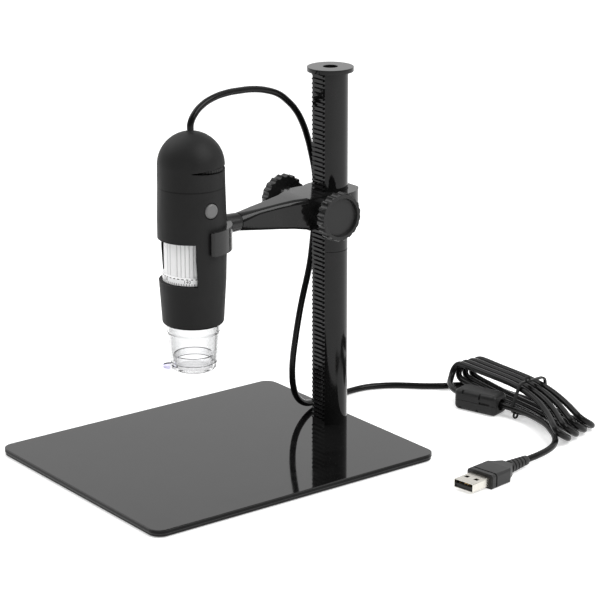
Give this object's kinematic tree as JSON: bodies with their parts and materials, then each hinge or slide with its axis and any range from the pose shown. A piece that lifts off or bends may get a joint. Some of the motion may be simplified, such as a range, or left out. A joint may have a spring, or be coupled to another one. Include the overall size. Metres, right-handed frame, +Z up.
{
  "type": "usb digital microscope",
  "caption": "USB digital microscope head in a C-clip on a rack-and-pinion arm, on a column with a flat base plate; cord tied in a hank with a ferrite and a USB-A plug.",
  "frame": {"origin": "centre of the base plate, on the table", "axes": "+Z up along the column, +Y from the front of the plate to the column, +X to the right"},
  "size_m": [0.1897, 0.2655, 0.1915],
  "materials": {
    "plate_black": "gloss black moulding",
    "steel_black": "black coated sheet",
    "rubber_black": "matte",
    "steel": "bright",
    "column_black": "gloss black moulding",
    "cord_black": "satin cord jacket",
    "tie_black": "matte",
    "ferrite_plastic": "satin",
    "ferrite": "matte ceramic",
    "plug_black": "satin",
    "plug_metal": "plated sheet",
    "tongue_white": "satin",
    "contact_gold": "plated",
    "arm_black": "gloss black moulding",
    "brass": "machined",
    "washer_white": "satin",
    "knob_grey": "satin dark grey",
    "clip_grey": "satin dark grey",
    "head_black": "soft-touch black",
    "board_green": "circuit board",
    "chip_black": "matte",
    "sleeve_black": "matte",
    "board_white": "circuit board",
    "led_clear": "clear",
    "clear": "clear moulding",
    "button_grey": "satin grey",
    "wheel_white": "satin white",
    "lens_glass": "polished"
  },
  "bodies": {
    "stand": {"base_plate": "plate_black", "base_weight": "steel_black", "rubber_feet": "rubber_black", "base_screw": "steel", "column_lower": "column_black", "column_upper": "column_black", "column_cap": "column_black", "cord_lower": "cord_black", "cord_hank": "cord_black", "cord_tail": "cord_black", "cord_tie": "tie_black", "ferrite_case": "ferrite_plastic", "ferrite_cover": "ferrite_plastic", "ferrite_core": "ferrite", "usb_overmould": "plug_black", "usb_shell": "plug_metal", "usb_tongue": "tongue_white", "usb_contacts": "contact_gold"},
    "carriage": {"carriage_arm": "arm_black", "pinion_bushes": "brass", "knob_washers": "washer_white", "swivel_washer": "rubber_black", "swivel_screw": "steel", "cord_upper": "cord_black"},
    "pinion": {"pinion_shaft": "steel", "pinion_gear": "brass", "knob_left": "knob_grey", "knob_right": "knob_grey"},
    "holder": {"holder_clip": "clip_grey", "swivel_pin": "steel"},
    "head": {"head_dome": "head_black", "head_body": "head_black", "cord_gland": "rubber_black", "main_board": "board_green", "image_sensor": "chip_black", "switch_board": "board_green", "tact_switch": "chip_black", "dimmer_pot": "chip_black", "lens_sleeve": "sleeve_black", "led_board": "board_white", "leds": "led_clear", "nose_cone": "clear"},
    "button": {"snapshot_button": "button_grey"},
    "focus": {"focus_wheel": "wheel_white"},
    "lens": {"lens_barrel": "sleeve_black", "lens_glass": "lens_glass"},
    "dimmer": {"dimmer_wheel": "sleeve_black"},
    "cap": {"nose_cap": "clear"}
  },
  "joints": [
    {"name": "carriage_slide", "type": "slide", "parent": "stand", "child": "carriage", "axis": [0, 0, 1], "range_m": [-0.036, 0.055], "deforming": ["cord_lower"]},
    {"name": "pinion_turn", "type": "hinge", "parent": "carriage", "child": "pinion", "pos_m": [0, 0.0592, 0.1208], "axis": [1, 0, 0], "range_deg": [-701, 459]},
    {"name": "holder_swivel", "type": "hinge", "parent": "carriage", "child": "holder", "pos_m": [0, 0.0135, 0.1208], "axis": [0, 1, 0], "range_deg": [-90, 90], "deforming": ["cord_upper"]},
    {"name": "head_twist", "type": "hinge", "parent": "holder", "child": "head", "pos_m": [0, -0.0136, 0.118], "axis": [0, 0, 1], "range_deg": [-90, 90]},
    {"name": "button_press", "type": "slide", "parent": "head", "child": "button", "axis": [-1, 0, 0], "range_m": [0, 0.0006], "stiffness_N_per_m": 200, "springref_m": -0.0005},
    {"name": "focus_turn", "type": "hinge", "parent": "head", "child": "focus", "pos_m": [0, -0.0136, 0.108], "axis": [0, 0, 1], "range_deg": [-135, 135]},
    {"name": "lens_travel", "type": "slide", "parent": "head", "child": "lens", "axis": [0, 0, 1], "range_m": [-0.005, 0.005]},
    {"name": "dimmer_turn", "type": "hinge", "parent": "head", "child": "dimmer", "pos_m": [0.00449, -0.01141, 0.1531], "axis": [0, 0, 1], "range_deg": [-135, 135]},
    {"name": "cap_pull", "type": "slide", "parent": "head", "child": "cap", "axis": [0, 0, -1], "range_m": [0, 0.01]}
  ],
  "couplings": [
    {"joint": "pinion_turn", "follows": "carriage_slide", "rad_per_m": -222.22},
    {"joint": "lens_travel", "follows": "focus_turn", "m_per_rad": 0.00212}
  ]
}
